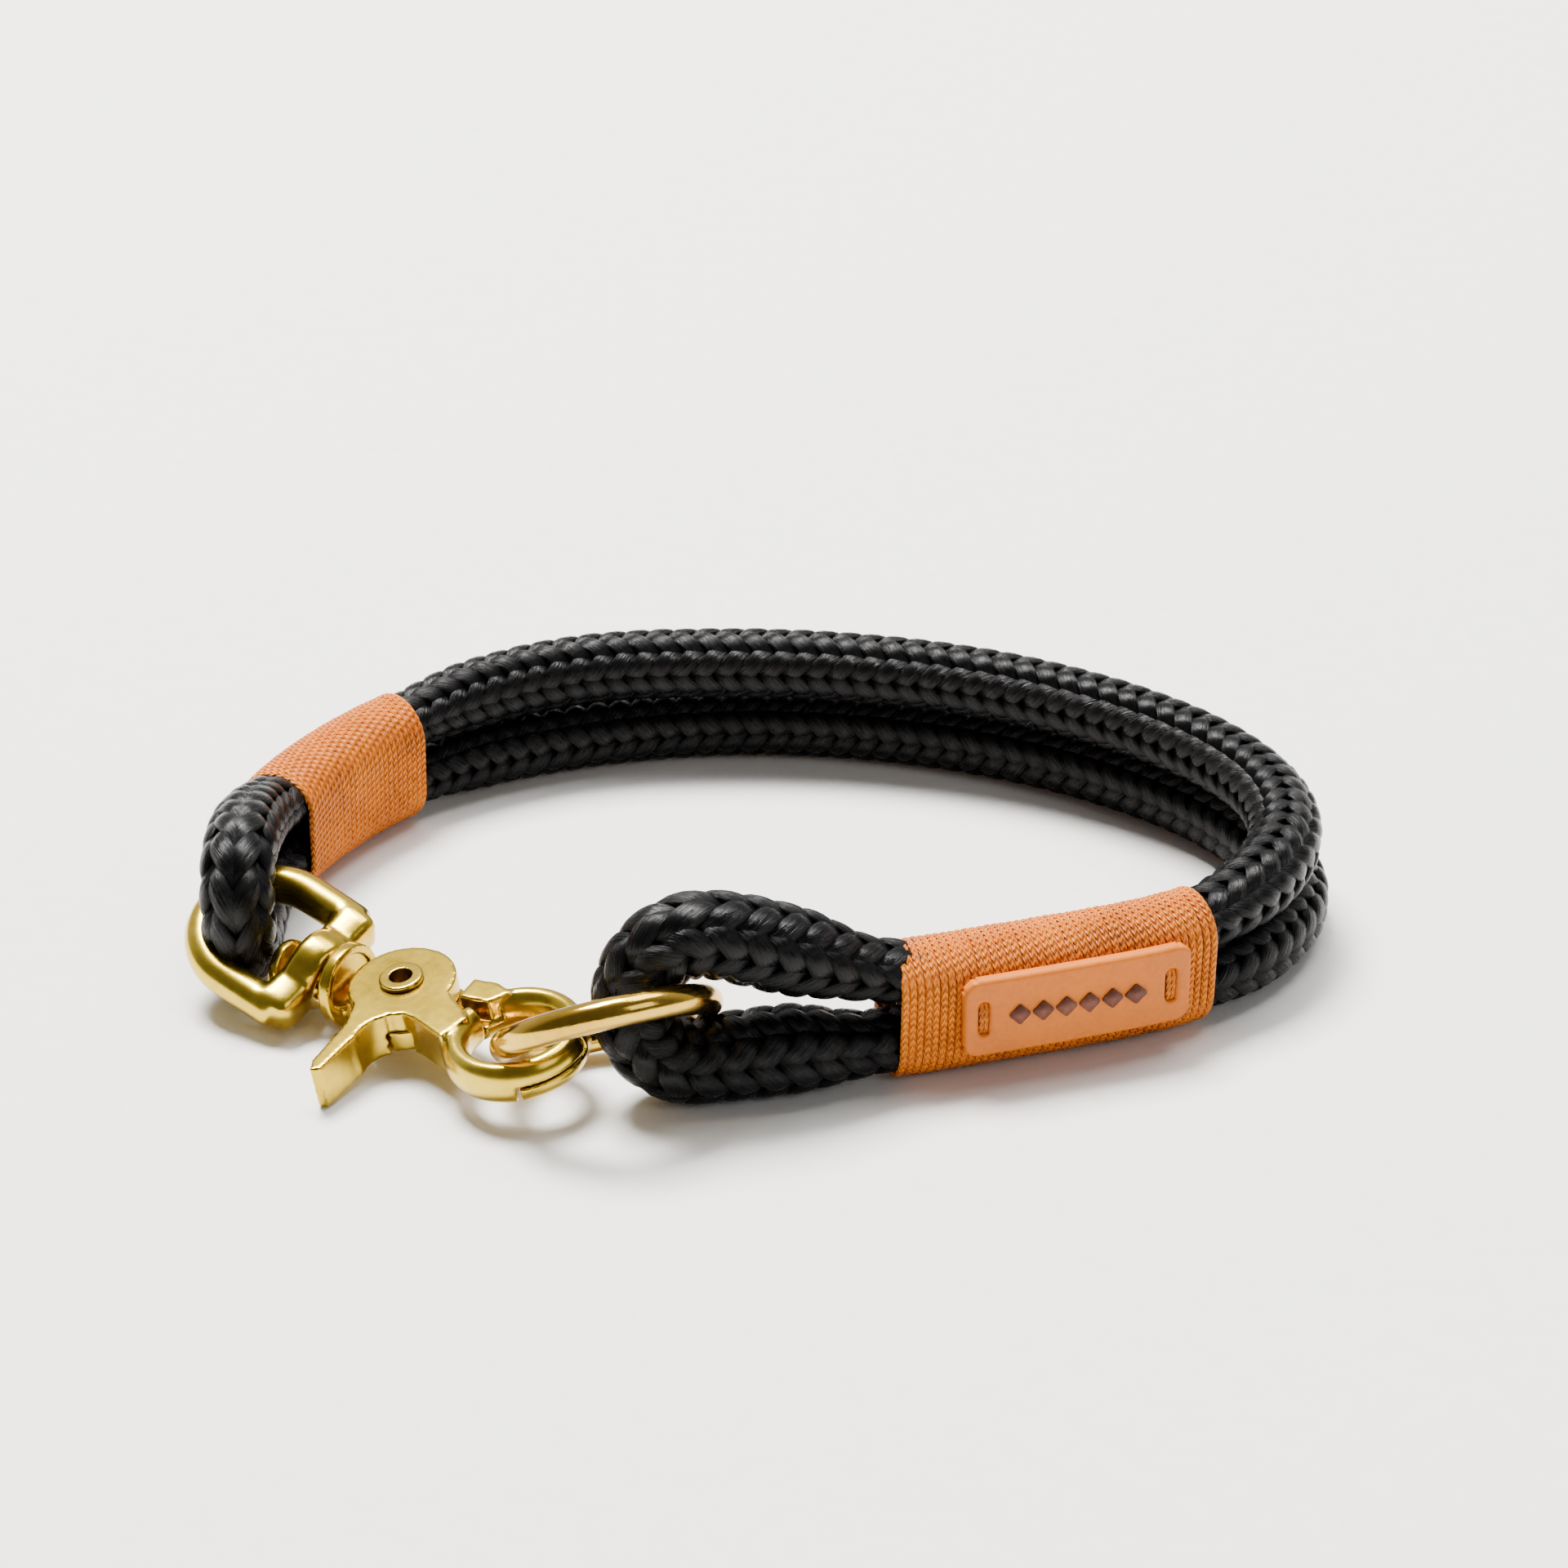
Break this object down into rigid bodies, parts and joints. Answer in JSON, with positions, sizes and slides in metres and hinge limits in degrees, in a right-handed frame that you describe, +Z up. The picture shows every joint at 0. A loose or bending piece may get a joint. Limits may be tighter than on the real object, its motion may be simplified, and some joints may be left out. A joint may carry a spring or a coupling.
{
  "type": "twin-strand rope dog collar",
  "caption": "Closed dog collar of doubled braided rope with two twine whippings, a swivelling scissor hook in one bight and an O-ring in the other.",
  "frame": {"origin": "on the surface it lies on, under the middle of the whole collar", "axes": "+Z up, +X along the collar's long side, +Y towards the middle of the back strands, away from the snap"},
  "size_m": [0.1512, 0.1123, 0.0286],
  "materials": {
    "rope_black": "braided polyamide, satin",
    "core_white": "twisted core yarns",
    "twine_orange": "braided waxed twine",
    "label_orange": "moulded soft rubber, matt",
    "relief_brown": "raised matt ink",
    "brass_cast": "cast, tumbled and polished",
    "brass_ring": "drawn, polished",
    "brass_rivet": "drawn, satin",
    "spring_steel": "hard drawn wire"
  },
  "bodies": {
    "collar": {"rope_lower_run": "rope_black", "rope_hook_bight": "rope_black", "rope_upper_run": "rope_black", "rope_ring_bight": "rope_black", "rope_core": "core_white", "whipping_hook_side": "twine_orange", "whipping_ring_side": "twine_orange", "label_plate": "label_orange", "label_relief": "relief_brown", "label_stitches": "twine_orange", "swivel_eye": "brass_cast"},
    "snap": {"snap_body": "brass_cast", "rivet": "brass_rivet", "torsion_spring": "spring_steel"},
    "trigger": {"trigger": "brass_cast"},
    "ring": {"o_ring": "brass_ring"}
  },
  "joints": [
    {"name": "snap_swivel", "type": "hinge", "parent": "collar", "child": "snap", "pos_m": [-0.0461, -0.03, 0.0065], "axis": [0.846, -0.5286, 0.0698], "range_deg": [-1, 6]},
    {"name": "trigger_pivot", "type": "hinge", "parent": "snap", "child": "trigger", "pos_m": [-0.0461, -0.03, 0.0065], "axis": [-0.1503, -0.1109, 0.9824], "range_deg": [-25, 0], "stiffness_Nm_per_rad": 0.06, "springref_deg": 20.05},
    {"name": "ring_turn", "type": "hinge", "parent": "collar", "child": "ring", "pos_m": [-0.0199, -0.0435, 0.0109], "axis": [-0.225, 0.5727, 0.7883], "continuous": true}
  ]
}
